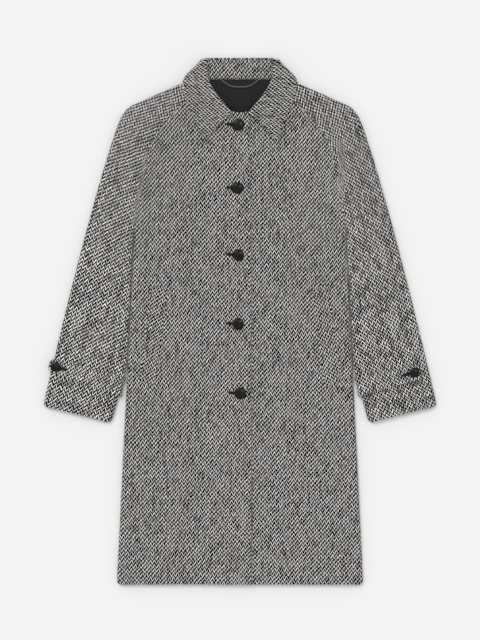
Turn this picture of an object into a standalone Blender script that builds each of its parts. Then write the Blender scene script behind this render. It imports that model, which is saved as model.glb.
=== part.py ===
"""A raglan-sleeved tweed coat, buttoned and laid out flat on its back.

Metres, +Z up. +Y points from the hem to the collar and +X to the wearer's left sleeve.
The origin is under the middle of the coat, on the surface it lies on.
Each cut piece is a sheet of points run through sections and given its wall thickness.
"""

import math

import bmesh
import bpy
from mathutils import Vector

MM = 0.001
UP = Vector((0, 0, 1))

# Plies and gaps
CLOTH = 2.5 * MM  # one ply of tweed
COLLAR_WALL = 4.0 * MM  # two plies of tweed, pressed
STAND_WALL = 3.0 * MM
TAB_WALL = 3.6 * MM
WELT_WALL = 2.4 * MM
LINING_WALL = 1.0 * MM
LABEL_WALL = 0.8 * MM
SEAM_GAP = 0.5 * MM  # between two pieces along a seam, measured across the coat
FOLD_GAP = 0.2 * MM  # half the gap between the edges that meet round a fold
LIE_GAP = 0.3 * MM  # under a piece that lies on another
COLLAR_LIE_GAP = 1.0 * MM
LOFT = 8.0 * MM  # air between the back and the fronts

# Outline of the body
LENGTH = 1106.8 * MM  # collar top to hem
HEM_Y = -LENGTH / 2
TOP_Y = LENGTH / 2
HEM_HALF = 259 * MM
UNDERARM_HALF = 222 * MM
UNDERARM_Y = 202 * MM
CORNER_ROUND = 8 * MM  # hem and cuff corners
CORNER_SHARE = 0.3  # the middle point of a rounded corner, as a share of its size
FRONT_EDGE_TOP = 21 * MM  # the upper front reaches this far past the centre
FRONT_EDGE_LOW = 24.5 * MM
FRONT_EDGE_EASE = (430 * MM, 100 * MM)
BACK_COLUMNS = (0.3, 0.5, 0.7)
FRONT_COLUMNS = (0.2, 0.265, 0.33, 0.4, 0.7)
UNDERLAP = -24 * MM  # the lower front reaches this far under the upper one

# Raglan seams, neck and shoulder
RAGLAN_NECK = (88 * MM, 480 * MM)
RAGLAN_BEND = 78 * MM  # the seam curves out by this much below the neck
RAGLAN_BEND_LENGTH = 125 * MM
RAGLAN_POWER = 1.9
NECK_FRONT_Y = 433 * MM
NECKLINE_POWER = 3
SHOULDER_START = (125 * MM, 502 * MM)
SHOULDER_SLOPE = 0.4557
SHOULDER_UNDER_COLLAR_Y = 497 * MM
SHOULDER_ROUND = 28 * MM
SLEEVE_TOP = (241.4 * MM, 448.9 * MM)
SLEEVE_TOP_SLOPE = 2.46
CUFF_OUTER = (414 * MM, -175 * MM)
CUFF_INNER = (271 * MM, -213 * MM)
SLEEVE_BOW = 0.82  # under 1, the sleeve's outer line bows outwards
SLEEVE_INNER_SLOPE = 0.286
SLEEVE_CLEARANCE = 1.0 * MM  # between the sleeve and the side of the body

# Folds: the radius of a folded edge, across the panel
SIDE_FOLD = 8 * MM
SLEEVE_OUTER_FOLD = 9 * MM
SLEEVE_TUCK_FOLD = 28 * MM  # where the sleeve slopes down beside the body
SLEEVE_CUFF_FOLD = 9 * MM
FOLD_ANGLES = tuple(math.radians(a) for a in (0, 30, 60, 90))
FOLD_ROOM = 0.3  # a fold takes at most this share of a short row

# The collar's layers lift the neck off the surface
LIFT_START_Y = 390 * MM
LIFT_FULL_Y = 474 * MM
LIFT_HALF_FULL = 130 * MM
LIFT_HALF_END = 200 * MM
RAISE_START, RAISE_FULL = -60 * MM, -28 * MM  # the upper front climbs over the lower one
RAISE_END = (32 * MM, 64 * MM)  # the collar leaf comes down again past the front edge

# Heights of the layers' middles
BACK_Z = CLOTH / 2
FRONT_Z = CLOTH + LOFT + CLOTH / 2

# Collar
COLLAR_CORNER = (80 * MM, TOP_Y)  # outline at the back of the neck
COLLAR_SIDE = (125 * MM, 502 * MM)  # outline where it crosses the shoulder
COLLAR_BACK_ROLL_Y = TOP_Y - COLLAR_WALL / 2
LIP_RADIUS = 5 * MM  # the rolled edge turns down towards the stand
LIP_DROP = 4.5 * MM
ROLL_RISE = 2.5 * MM  # the roll stands up off the fronts
ROLL_REACH = 42 * MM
BEND_ANGLES = tuple(math.radians(a) for a in (0, 45, 90, 135, 180))
FALL_SHARES = (0.25, 0.5, 0.75, 1.0)

# Buttons
FRONT_BUTTON_RADIUS = 12.5 * MM
TAB_BUTTON_RADIUS = 10.5 * MM
BUTTON_THICK = 4.6 * MM
FRONT_BUTTON_PLACES = [
    # x, y, from the collar down
    (-3.4 * MM, 411.5 * MM),
    (-4.2 * MM, 279.0 * MM),
    (-3.8 * MM, 138.6 * MM),
    (-4.2 * MM, -6.3 * MM),
    (0.4 * MM, -152.0 * MM),
]

# Sleeve tabs, from the inner edge of the sleeve towards its outer edge
TAB_INNER_Y = (-157 * MM, -117 * MM)
TAB_OUTER_Y = {"left": (-115.3 * MM, -86.3 * MM), "right": (-108.5 * MM, -79.5 * MM)}
TAB_TIP_BACK = {"left": 16 * MM, "right": -6.5 * MM}  # from the tip to the sleeve's outer edge
TAB_BUTTON_BACK = {"left": 31 * MM, "right": 7.8 * MM}
TAB_ROWS = [
    # share of the width, how far the tip is rounded back
    (0.0, 7 * MM),
    (0.2, 0.0),
    (0.8, 0.0),
    (1.0, 7 * MM),
]

# Pocket welts, whose feet are cut on a slant
WELT_ENDS = [
    # x, y of the inner corner, x, y of the outer corner, from the foot up
    (178.5 * MM, -140.5 * MM, 210.8 * MM, -126.5 * MM),
    (151.4 * MM, 67.4 * MM, 185.5 * MM, 69.9 * MM),
]
WELT_ROWS = 3

# Inside the neck
LINING_HALF = 68 * MM
LINING_Y = (330 * MM, 508 * MM)
LABEL_SIZE = (48 * MM, 36 * MM)
LABEL_Y = 468 * MM
HANGER_HALF = 40 * MM
HANGER_TOP_Y = 506.5 * MM
HANGER_SAG = 12.5 * MM
HANGER_RADIUS = 1.6 * MM
HANGER_POINTS = 13
HANGER_SIDES = 8

# Rows of the body below the underarm, and how far its side is folded there
BODY_ROWS = [
    # y, fold share
    (HEM_Y, 1.0),
    (HEM_Y + CORNER_SHARE * CORNER_ROUND, 1.0),
    (HEM_Y + CORNER_ROUND, 1.0),
    (-330 * MM, 1.0),
    (-92 * MM, 1.0),
    (60 * MM, 1.0),
    (130 * MM, 1.0),
    (165 * MM, 0.7),
    (UNDERARM_Y, 0.0),
]

# Rows of the raglan sleeves: where each starts on the raglan seam and ends on the shoulder line
RAGLAN_ROWS = [
    # seam y, shoulder x
    (480 * MM, 88 * MM),
    (474 * MM, 104 * MM),
    (464 * MM, 121 * MM),
    (455 * MM, 134 * MM),
    (445 * MM, 149 * MM),
    (438 * MM, 160 * MM),
    (433 * MM, 167 * MM),
    (421 * MM, 185 * MM),
    (402 * MM, 210 * MM),
    (385 * MM, 230 * MM),
    (366 * MM, 246 * MM),
    (340 * MM, 262 * MM),
    (305 * MM, 281 * MM),
    (270 * MM, 299 * MM),
    (235 * MM, 309 * MM),
    (UNDERARM_Y, 316 * MM),
]
BACK_NECK_ROWS = [
    # y, half width of the back above its raglan seams
    (497 * MM, 86.5 * MM),
    (509 * MM, 70 * MM),
]
LOWER_SLEEVE_ROWS = [
    # inner edge y, outer x, fold share, inner fold radius
    (165 * MM, 326 * MM, 0.7, SLEEVE_TUCK_FOLD),
    (130 * MM, 334.8 * MM, 1.0, SLEEVE_TUCK_FOLD),
    (60 * MM, 352 * MM, 1.0, SLEEVE_TUCK_FOLD),
    (-20 * MM, 371 * MM, 1.0, SLEEVE_TUCK_FOLD),
    (-92 * MM, 388 * MM, 1.0, 16 * MM),
    (-150 * MM, 400.6 * MM, 1.0, SLEEVE_CUFF_FOLD),
    (-205.5 * MM, 412.5 * MM, 1.0, SLEEVE_CUFF_FOLD),
]

# One half of the collar's fall, from its front edge to the middle of the back
FALL_FRONT_ROWS = [
    # roll x, roll y, outer edge x, outer edge y
    (17.5 * MM, 436 * MM, 79 * MM, 379.5 * MM),
    (38.5 * MM, 460 * MM, 91 * MM, 416 * MM),
    (56.5 * MM, 484 * MM, 106 * MM, 452 * MM),
    (68.5 * MM, 508 * MM, 117 * MM, 484 * MM),
]
FALL_BACK_ROWS = [
    # roll x, roll y, outer edge x, outer edge y
    (50 * MM, COLLAR_BACK_ROLL_Y, 75 * MM, 481 * MM),
    (0, COLLAR_BACK_ROLL_Y, 0, 478 * MM),
]
STAND_FRONT_ROWS = [
    # neck x, neck y, roll x, roll y
    (24 * MM, 441.6 * MM, 30 * MM, 447 * MM),
    (50 * MM, 448.2 * MM, 48 * MM, 470 * MM),
    (74 * MM, 458.2 * MM, 64.5 * MM, 492 * MM),
    (86 * MM, 476 * MM, 73 * MM, 508 * MM),
]
STAND_FOLD = ((78 * MM, 509.5 * MM), (67 * MM, 541.5 * MM))  # neck and roll ends, at the side of the neck
STAND_BACK_ROWS = [
    # neck x, neck y, roll x, roll y
    (66 * MM, 510 * MM, 55 * MM, 545.5 * MM),
    (0, 510 * MM, 0, 546 * MM),
]


def clear_scene():
    for obj in list(bpy.data.objects):
        bpy.data.objects.remove(obj)


def smooth(start, end, value):
    """0 before start, 1 after end, easing between them."""
    t = max(0.0, min(1.0, (value - start) / (end - start)))
    return t * t * (3 - 2 * t)


def smooth_min(a, b, width):
    """The lesser of two numbers, rounded over where they cross."""
    h = max(width - abs(a - b), 0.0) / width
    return min(a, b) - h * h * width / 4


# Outlines, as distances from the coat's middle line


def body_side(y):
    share = (UNDERARM_Y - y) / (UNDERARM_Y - HEM_Y)
    corner = max(0.0, CORNER_ROUND - (y - HEM_Y))
    rounding = CORNER_ROUND - math.sqrt(CORNER_ROUND**2 - corner**2)
    return UNDERARM_HALF + (HEM_HALF - UNDERARM_HALF) * share - rounding


def raglan_x(y):
    neck_x, neck_y = RAGLAN_NECK
    down = neck_y - y
    bend = 1 - max(0.0, 1 - down / RAGLAN_BEND_LENGTH) ** RAGLAN_POWER
    slope = (UNDERARM_HALF - neck_x - RAGLAN_BEND) / (neck_y - UNDERARM_Y)
    return neck_x + RAGLAN_BEND * bend + slope * down


def shoulder_y(x):
    """The outline from the neck over the shoulder and down the outside of the sleeve."""
    start_x, start_y = SHOULDER_START
    slope_y = start_y - SHOULDER_SLOPE * (x - start_x)
    top_x, top_y = SLEEVE_TOP
    cuff_x, cuff_y = CUFF_OUTER
    if x < top_x:
        sleeve_y = top_y + (top_x - x) * SLEEVE_TOP_SLOPE
    else:
        sleeve_y = top_y - (top_y - cuff_y) * ((x - top_x) / (cuff_x - top_x)) ** (1 / SLEEVE_BOW)
    return min(smooth_min(slope_y, sleeve_y, SHOULDER_ROUND), SHOULDER_UNDER_COLLAR_Y)


def sleeve_outer_x(y):
    top_x, top_y = SLEEVE_TOP
    cuff_x, cuff_y = CUFF_OUTER
    return top_x + (cuff_x - top_x) * ((top_y - y) / (top_y - cuff_y)) ** SLEEVE_BOW


def sleeve_inner_x(y):
    cuff_x, cuff_y = CUFF_INNER
    own_line = cuff_x - SLEEVE_INNER_SLOPE * (y - cuff_y)
    return max(body_side(y) + SLEEVE_CLEARANCE, own_line)


def upper_front_edge(y):
    """The upper front's centre edge, past the middle, so negative towards its own side."""
    start, end = FRONT_EDGE_EASE
    return -FRONT_EDGE_TOP - (FRONT_EDGE_LOW - FRONT_EDGE_TOP) * (1 - smooth(end, start, y))


def lower_front_edge(y):
    return UNDERLAP


def neckline_x(y, edge_x):
    """A front's neckline on the +X side, from its centre edge up to the raglan seam."""
    neck_x, neck_y = RAGLAN_NECK
    up = min(1.0, (y - NECK_FRONT_Y) / (neck_y - NECK_FRONT_Y))
    return neck_x - (neck_x - edge_x) * (1 - up) ** NECKLINE_POWER


# Heights of the layers


def neck_lift(x, y):
    across = 1 - smooth(LIFT_HALF_FULL, LIFT_HALF_END, abs(x))
    return (COLLAR_WALL + LIE_GAP) * smooth(LIFT_START_Y, LIFT_FULL_Y, y) * across


def back_height(x, y):
    return BACK_Z + neck_lift(x, y)


def front_height(x, y):
    return FRONT_Z + neck_lift(x, y)


def upper_front_height(x, y):
    return front_height(x, y) + (CLOTH + LIE_GAP) * smooth(RAISE_START, RAISE_FULL, x)


def seam_height(x, y):
    return (BACK_Z + FRONT_Z) / 2 + neck_lift(x, y)


def top_seam_height(x, y):
    return seam_height(x, y) + FOLD_GAP


def low_seam_height(x, y):
    return seam_height(x, y) - FOLD_GAP


def leaf_height(x, y):
    """Middle of a collar leaf, which lies on both fronts."""
    over = (CLOTH + LIE_GAP) * smooth(RAISE_START, RAISE_FULL, x) * (1 - smooth(*RAISE_END, x))
    return front_height(x, y) + over + CLOTH / 2 + COLLAR_LIE_GAP + COLLAR_WALL / 2


# Sections and sheets


def section(start, end, flat, seam, start_fold, end_fold, shares, out=0.0):
    """Points across a panel from start to end in plan, each with the direction of its wall.

    A fold is (share, radius): the edge turns from the flat height towards the seam height.
    out moves the whole section off the panel's own middle, for what lies on it.
    """
    start, end = Vector((*start, 0)), Vector((*end, 0))
    along = (end - start).normalized()
    room = (end - start).length * FOLD_ROOM
    marks = []
    for place, inward, (share, radius) in ((start, along, start_fold), (end, -along, end_fold)):
        folded = share > 0
        place = place + inward * ((CLOTH / 2 - out) if folded else 0)
        radius = min(radius, room) + (out if folded else 0)
        turns = FOLD_ANGLES if radius > 0 else FOLD_ANGLES[:1]
        places = [place + inward * (radius * (1 - math.cos(angle))) for angle in turns]
        marks.append([(p, share, radius, angle, inward) for p, angle in zip(places, turns)])
    low, high = marks[0][-1][0], marks[1][-1][0]
    inside = [(low.lerp(high, share), 0.0, 0.0, 0.0, along) for share in shares]
    points = []
    for p, share, radius, angle, inward in marks[0] + inside + marks[1][::-1]:
        level = flat(p.x, p.y) + out
        depth = (level - seam(p.x, p.y)) * share
        wall = UP * (radius * math.sin(angle)) - inward * (depth * math.cos(angle))
        point = Vector((p.x, p.y, level - depth * (1 - math.sin(angle))))
        points.append((point, wall.normalized() if share > 0 else UP))
    return points


def new_material(name, colour, roughness):
    material = bpy.data.materials.new(name)
    material.use_nodes = True
    shader = material.node_tree.nodes["Principled BSDF"]
    shader.inputs["Base Color"].default_value = (*colour, 1)
    shader.inputs["Roughness"].default_value = roughness
    return material


def add_object(name, data, material):
    obj = bpy.data.objects.new(name, data)
    obj.data.materials.append(material)
    bpy.context.scene.collection.objects.link(obj)
    return obj


def mesh_from(bm, name):
    mesh = bpy.data.meshes.new(name)
    bm.to_mesh(mesh)
    bm.free()
    mesh.shade_smooth()
    mesh.set_sharp_from_angle(angle=math.radians(40))
    return mesh


def sheet(name, rows, wall, material):
    """A cloth piece through rows of (middle point, wall direction), closed round its edges."""
    bm = bmesh.new()
    sides = []
    for sign in (0.5, -0.5):
        sides.append([[bm.verts.new(p + n * (sign * wall)) for p, n in row] for row in rows])
    for grid in sides:
        for lower, upper in zip(grid, grid[1:]):
            for i in range(len(lower) - 1):
                bm.faces.new((lower[i], lower[i + 1], upper[i + 1], upper[i]))
    rims = [outline(grid) for grid in sides]
    for i in range(len(rims[0])):
        bm.faces.new((rims[0][i - 1], rims[0][i], rims[1][i], rims[1][i - 1]))
    bmesh.ops.recalc_face_normals(bm, faces=bm.faces)
    return add_object(name, mesh_from(bm, name), material)


def outline(grid):
    """The points round the edge of a grid, in order."""
    right = [row[-1] for row in grid[1:]]
    left = [row[0] for row in grid[1:-1]]
    return grid[0] + right + grid[-1][-2::-1] + left[::-1]


def upright(points):
    return [(Vector(point), UP) for point in points]


def mirrored(points, side):
    flip = Vector((side, 1, 1))
    return [(point * flip, wall * flip) for point, wall in points]


# Body


def body_edge(y):
    """Outer edge of a body panel in plan, and how far it is folded there."""
    if y < UNDERARM_Y:
        return body_side(y), dict(BODY_ROWS)[y]
    return raglan_x(y) - SEAM_GAP / 2, 0.0


def make_back(material):
    edges = [(y, *body_edge(y)) for y, _ in BODY_ROWS + RAGLAN_ROWS[-2::-1]]
    edges += [(y, half, 0.0) for y, half in BACK_NECK_ROWS]
    rows = []
    for y, half, share in edges:
        fold = (share, SIDE_FOLD)
        rows.append(section((-half, y), (half, y), back_height, low_seam_height, fold, fold, BACK_COLUMNS))
    return sheet("back", rows, CLOTH, material)


def make_front(name, side, edge_x, flat, material):
    """side is -1 for the wearer's right front. edge_x gives its centre edge, measured towards side."""
    rows = []
    for y, _ in BODY_ROWS + RAGLAN_ROWS[-2:0:-1]:
        half, share = body_edge(y)
        inner = edge_x(y) if y <= NECK_FRONT_Y else neckline_x(y, edge_x(NECK_FRONT_Y))
        ends = (side * inner, y), (side * half, y)
        folds = (0.0, 0.0), (share, SIDE_FOLD)
        rows.append(section(*ends, flat, top_seam_height, *folds, FRONT_COLUMNS))
    return sheet(name, rows, CLOTH, material)


# Sleeves


def sleeve_lines():
    """The rows of a sleeve half on the +X side: two ends, the inner fold's share and its radius."""
    lines = []
    for y, outer_x in RAGLAN_ROWS:
        start = (raglan_x(y) + SEAM_GAP / 2, y)
        lines.append((start, (outer_x, shoulder_y(outer_x)), 0.0, SLEEVE_TUCK_FOLD))
    for y, outer_x, share, radius in LOWER_SLEEVE_ROWS:
        lines.append(((sleeve_inner_x(y), y), (outer_x, shoulder_y(outer_x)), share, radius))
    return lines + cuff_lines()


def cuff_lines():
    """The last rows at the cuff, drawn in at both ends to round its corners."""
    inner, outer = Vector(CUFF_INNER), Vector(CUFF_OUTER)
    across = (outer - inner).normalized()
    up = Vector((-across.y, across.x))
    lines = []
    near = CORNER_SHARE * CORNER_ROUND
    for height, inset in ((near, near), (0.0, CORNER_ROUND)):
        ends = inner + up * height + across * inset, outer + up * height - across * inset
        lines.append((tuple(ends[0]), tuple(ends[1]), 1.0, SLEEVE_CUFF_FOLD))
    return lines


def make_sleeve_half(name, side, flat, seam, material):
    rows = []
    for start, end, inner_share, inner_radius in sleeve_lines():
        folds = (inner_share, inner_radius), (1.0, SLEEVE_OUTER_FOLD)
        rows.append(mirrored(section(start, end, flat, seam, *folds, (0.5,)), side))
    return sheet(name, rows, CLOTH, material)


# Sleeve tabs


def tab_line(hand, share):
    """A line across the sleeve, on the +X side, at a share of the tab's width."""
    inner_y = TAB_INNER_Y[0] + (TAB_INNER_Y[1] - TAB_INNER_Y[0]) * share
    outer_y = TAB_OUTER_Y[hand][0] + (TAB_OUTER_Y[hand][1] - TAB_OUTER_Y[hand][0]) * share
    return (sleeve_inner_x(inner_y), inner_y), (sleeve_outer_x(outer_y), outer_y)


def make_tab(name, side, hand, material):
    """A tab lies across the sleeve, round its inner edge and up to its tip."""
    out = CLOTH / 2 + LIE_GAP + TAB_WALL / 2
    rows = []
    for share, rounding in TAB_ROWS:
        start, end = tab_line(hand, share)
        along = (Vector(end) - Vector(start)).normalized()
        tip = Vector(end) - along * (TAB_TIP_BACK[hand] + rounding)
        folds = (1.0, SLEEVE_CUFF_FOLD), (0.0, 0.0)
        points = section(start, tip, front_height, top_seam_height, *folds, (0.5,), out)
        rows.append(mirrored(points, side))
    return sheet(name, rows, TAB_WALL, material)


def tab_button_place(side, hand):
    start, end = tab_line(hand, 0.5)
    along = (Vector(end) - Vector(start)).normalized()
    place = Vector(end) - along * TAB_BUTTON_BACK[hand]
    height = front_height(place.x, place.y) + CLOTH / 2 + TAB_WALL + 2 * LIE_GAP
    return Vector((side * place.x, place.y, height))


# Collar


def lipped(roll, outer, normal, rise, height=None):
    """A section of the fall from its rolled edge to its outer edge."""
    along = (outer - roll).normalized()
    flat_length = (outer - roll).length - LIP_RADIUS
    marks = [(LIP_RADIUS * (1 - math.cos(a)), a) for a in FOLD_ANGLES]
    marks += [(LIP_RADIUS + flat_length * share, FOLD_ANGLES[-1]) for share in FALL_SHARES]
    points = []
    for distance, angle in marks:
        p = roll + along * distance
        if height:
            p.z = height(p.x, p.y)
        lift = rise * (1 - smooth(0, ROLL_REACH, distance)) - LIP_DROP * (1 - math.sin(angle))
        wall = normal * (LIP_RADIUS * math.sin(angle)) - along * (LIP_DROP * math.cos(angle))
        points.append((p + normal * lift, wall.normalized()))
    return points


def fall_half(side):
    """Sections of one half of the fall, from the front edge to beside the middle of the back."""
    rows = []
    for roll_x, roll_y, edge_x, edge_y in FALL_FRONT_ROWS:
        roll, outer = Vector((side * roll_x, roll_y, 0)), Vector((side * edge_x, edge_y, 0))
        rows.append(lipped(roll, outer, UP, ROLL_RISE, leaf_height))
    corner, edge = Vector((*COLLAR_CORNER, 0)), Vector((*COLLAR_SIDE, 0))
    outward = Vector((corner.y - edge.y, edge.x - corner.x, 0)).normalized()
    low = COLLAR_WALL / 2
    high = leaf_height(side * edge.x, edge.y)
    radius = (high - low) / 2
    for angle in BEND_ANGLES:
        shift = outward * (radius * math.sin(angle) - radius - COLLAR_WALL / 2)
        shift.z = low + radius + radius * math.cos(angle)
        normal = outward * math.sin(angle) + UP * math.cos(angle)
        roll = corner + shift
        roll.y = COLLAR_BACK_ROLL_Y  # the roll runs straight along the top
        points = lipped(roll, edge + shift, normal, ROLL_RISE * max(0.0, math.cos(angle)))
        rows.append(mirrored(points, side))
    roll_x, roll_y, edge_x, edge_y = FALL_BACK_ROWS[0]
    roll, outer = Vector((side * roll_x, roll_y, low)), Vector((side * edge_x, edge_y, low))
    rows.append(lipped(roll, outer, -UP, 0.0))
    return rows


def make_fall(material):
    roll_x, roll_y, edge_x, edge_y = FALL_BACK_ROWS[-1]
    low = COLLAR_WALL / 2
    middle = lipped(Vector((roll_x, roll_y, low)), Vector((edge_x, edge_y, low)), -UP, 0.0)
    rows = fall_half(-1) + [middle] + list(reversed(fall_half(1)))
    return sheet("collar_fall", rows, COLLAR_WALL, material)


def stand_front_height(x, y):
    """Middle of the stand where it runs on inwards from a front's neckline."""
    raised = upper_front_height(x, y) - front_height(x, y)
    return front_height(x, y) + raised * (1 - smooth(*RAISE_END, x)) + (CLOTH - STAND_WALL) / 2


def stand_half(side):
    """Sections of one half of the stand, folded at the side of the neck, up to beside the middle."""
    rows = []
    for neck_x, neck_y, roll_x, roll_y in STAND_FRONT_ROWS:
        ends = Vector((side * neck_x, neck_y)), Vector((side * roll_x, roll_y))
        middle = (ends[0] + ends[1]) / 2
        rows.append(upright((p.x, p.y, stand_front_height(p.x, p.y)) for p in (ends[0], middle, ends[1])))
    neck, roll = (Vector((*place, 0)) for place in STAND_FOLD)
    outward = Vector((roll.y - neck.y, neck.x - roll.x, 0)).normalized()
    low = COLLAR_WALL + LIE_GAP + STAND_WALL / 2
    radius = (stand_front_height(side * neck.x, neck.y) - low) / 2
    for angle in BEND_ANGLES:
        wall = outward * math.sin(angle) + UP * math.cos(angle)
        shift = wall * radius + UP * (low + radius)
        rows.append(mirrored([(p + shift, wall) for p in (neck, (neck + roll) / 2, roll)], side))
    rows.append(stand_back_row(STAND_BACK_ROWS[0], side))
    return rows


def stand_back_row(row, side):
    neck_x, neck_y, roll_x, roll_y = row
    low = COLLAR_WALL + LIE_GAP + STAND_WALL / 2
    ends = Vector((side * neck_x, neck_y, low)), Vector((side * roll_x, roll_y, low))
    return [(p, -UP) for p in (ends[0], (ends[0] + ends[1]) / 2, ends[1])]


def make_stand(material):
    rows = stand_half(-1) + [stand_back_row(STAND_BACK_ROWS[-1], 1)] + stand_half(1)[::-1]
    return sheet("collar_stand", rows, STAND_WALL, material)


# Inside the neck


def lining_top(y):
    return back_height(0, y) + CLOTH / 2 + LIE_GAP + LINING_WALL


def make_lining(material):
    low, high = LINING_Y
    climb = [LIFT_START_Y + (LIFT_FULL_Y - LIFT_START_Y) * k / 5 for k in range(6)]
    rows = []
    for y in [low, *climb, high]:
        z = lining_top(y) - LINING_WALL / 2
        rows.append(upright((share * LINING_HALF, y, z) for share in (-1, 0, 1)))
    return sheet("back_lining", rows, LINING_WALL, material)


def make_label(material):
    width, height = LABEL_SIZE
    rows = []
    for k in range(5):
        y = LABEL_Y + height * (k / 4 - 0.5)
        z = lining_top(y) + 2 * LIE_GAP + LABEL_WALL / 2
        rows.append(upright((x, y, z) for x in (-width / 2, width / 2)))
    return sheet("neck_label", rows, LABEL_WALL, material)


def make_hanger(material):
    """The loop lies on the lining and hangs from the neck seam at both ends."""
    height = lining_top(HANGER_TOP_Y) + LIE_GAP + HANGER_RADIUS
    bm = bmesh.new()
    rings = []
    for k in range(HANGER_POINTS):
        across = 2 * k / (HANGER_POINTS - 1) - 1
        centre = Vector((across * HANGER_HALF, HANGER_TOP_Y - HANGER_SAG * (1 - across**2), height))
        sideways = Vector((-2 * across * HANGER_SAG / HANGER_HALF, 1, 0)).normalized()
        turns = [2 * math.pi * i / HANGER_SIDES for i in range(HANGER_SIDES)]
        spokes = [(sideways * math.cos(a) + UP * math.sin(a)) * HANGER_RADIUS for a in turns]
        rings.append([bm.verts.new(centre + spoke) for spoke in spokes])
    for ring, following in zip(rings, rings[1:]):
        for i in range(HANGER_SIDES):
            bm.faces.new((ring[i - 1], ring[i], following[i], following[i - 1]))
    bm.faces.new(rings[0])
    bm.faces.new(rings[-1])
    bmesh.ops.recalc_face_normals(bm, faces=bm.faces)
    return add_object("hanger_loop", mesh_from(bm, "hanger_loop"), material)


# Pockets and buttons


def make_welt(name, side, flat, material):
    """A slanting welt, sewn flat on the front, its lower end nearer the side seam."""
    foot, head = WELT_ENDS
    rows = []
    for k in range(WELT_ROWS):
        inner_x, inner_y, outer_x, outer_y = (a + (b - a) * k / (WELT_ROWS - 1) for a, b in zip(foot, head))
        row = []
        for x, y in ((inner_x, inner_y), (outer_x, outer_y)):
            row.append((side * x, y, flat(side * x, y) + CLOTH / 2 + LIE_GAP + WELT_WALL / 2))
        rows.append(upright(row))
    return sheet(name, rows, WELT_WALL, material)


def make_button(name, place, radius, material):
    """A domed disc with a rounded rim, its back at place."""
    profile = [
        # share of the radius, share of the thickness
        (0.0, 1.0),
        (0.3, 0.97),
        (0.55, 0.9),
        (0.78, 0.78),
        (0.93, 0.62),
        (1.0, 0.4),
        (0.94, 0.16),
        (0.72, 0.0),
        (0.0, 0.0),
    ]
    bm = bmesh.new()
    line = [bm.verts.new((r * radius, 0, z * BUTTON_THICK)) for r, z in profile]
    edges = [bm.edges.new(pair) for pair in zip(line, line[1:])]
    turn = {"axis": (0, 0, 1), "cent": (0, 0, 0), "angle": 2 * math.pi, "steps": 20, "use_merge": True}
    bmesh.ops.spin(bm, geom=line + edges, **turn)
    bmesh.ops.remove_doubles(bm, verts=bm.verts, dist=1e-6)
    bmesh.ops.recalc_face_normals(bm, faces=bm.faces)
    obj = add_object(name, mesh_from(bm, name), material)
    obj.location = place
    return obj


def make_buttons(material):
    for k, (x, y) in enumerate(FRONT_BUTTON_PLACES):
        z = upper_front_height(x, y + FRONT_BUTTON_RADIUS) + CLOTH / 2 + LIE_GAP
        make_button(f"front_button_{k + 1}", Vector((x, y, z)), FRONT_BUTTON_RADIUS, material)
    for side, hand in ((-1, "right"), (1, "left")):
        place = tab_button_place(side, hand)
        make_button(f"tab_button_{hand}", place, TAB_BUTTON_RADIUS, material)


def main():
    clear_scene()
    tweed = new_material("tweed", (0.2, 0.2, 0.2), 0.95)
    satin = new_material("lining_satin", (0.012, 0.012, 0.013), 0.5)
    horn = new_material("button_black", (0.012, 0.012, 0.013), 0.35)
    cord = new_material("hanger_cord", (0.1, 0.1, 0.1), 0.8)
    make_back(tweed)
    make_front("front_right", -1, upper_front_edge, upper_front_height, tweed)
    make_front("front_left", 1, lower_front_edge, front_height, tweed)
    for side, hand in ((-1, "right"), (1, "left")):
        make_sleeve_half(f"sleeve_front_{hand}", side, front_height, top_seam_height, tweed)
        make_sleeve_half(f"sleeve_back_{hand}", side, back_height, low_seam_height, tweed)
        make_tab(f"sleeve_tab_{hand}", side, hand, tweed)
        make_welt(f"pocket_welt_{hand}", side, front_height, tweed)
    make_fall(tweed)
    make_stand(tweed)
    make_lining(satin)
    make_label(satin)
    make_hanger(cord)
    make_buttons(horn)


main()
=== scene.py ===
import math

import bmesh
import bpy
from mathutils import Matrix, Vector, noise


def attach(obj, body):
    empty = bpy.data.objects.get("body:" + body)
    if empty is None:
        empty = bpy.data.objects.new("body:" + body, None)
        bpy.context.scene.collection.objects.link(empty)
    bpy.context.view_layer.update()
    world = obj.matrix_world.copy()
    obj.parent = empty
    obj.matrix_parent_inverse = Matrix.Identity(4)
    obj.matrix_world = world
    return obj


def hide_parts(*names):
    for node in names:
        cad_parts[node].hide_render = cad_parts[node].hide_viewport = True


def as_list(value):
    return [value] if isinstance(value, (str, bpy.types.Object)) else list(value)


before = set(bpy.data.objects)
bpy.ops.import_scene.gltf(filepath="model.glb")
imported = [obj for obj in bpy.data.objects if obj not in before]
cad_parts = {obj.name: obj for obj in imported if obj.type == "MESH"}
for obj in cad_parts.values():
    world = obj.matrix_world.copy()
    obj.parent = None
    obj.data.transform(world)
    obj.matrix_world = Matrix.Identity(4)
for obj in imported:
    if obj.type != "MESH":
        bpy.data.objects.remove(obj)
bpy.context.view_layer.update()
scene = bpy.context.scene
up = Vector((0, 0, 1))
hands = (("right", -1), ("left", 1))  # the wearer's, with the sign of x
print("frame loaded:", len(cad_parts), "nodes")

# camera, light and floor
studio = {
    "cameraHeight": 4.0,
    "cameraY": 0.0021,
    "photoHeight": 1.3485,  # metres of floor from the top to the bottom of the picture
    "sensor": 36.0,
    "floorSize": 30.0,
    "floorZ": -0.0004,
    "floorColour": (0.7, 0.7, 0.7, 1),
    "skyStrength": 0.87,
    "suns": [
        # name, strength, apparent size and turns about x and y in degrees
        ("softKey", 1.2, 26, -27, -19),
        ("smallKey", 0.36, 5, -13, 12),
    ],
}

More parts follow.
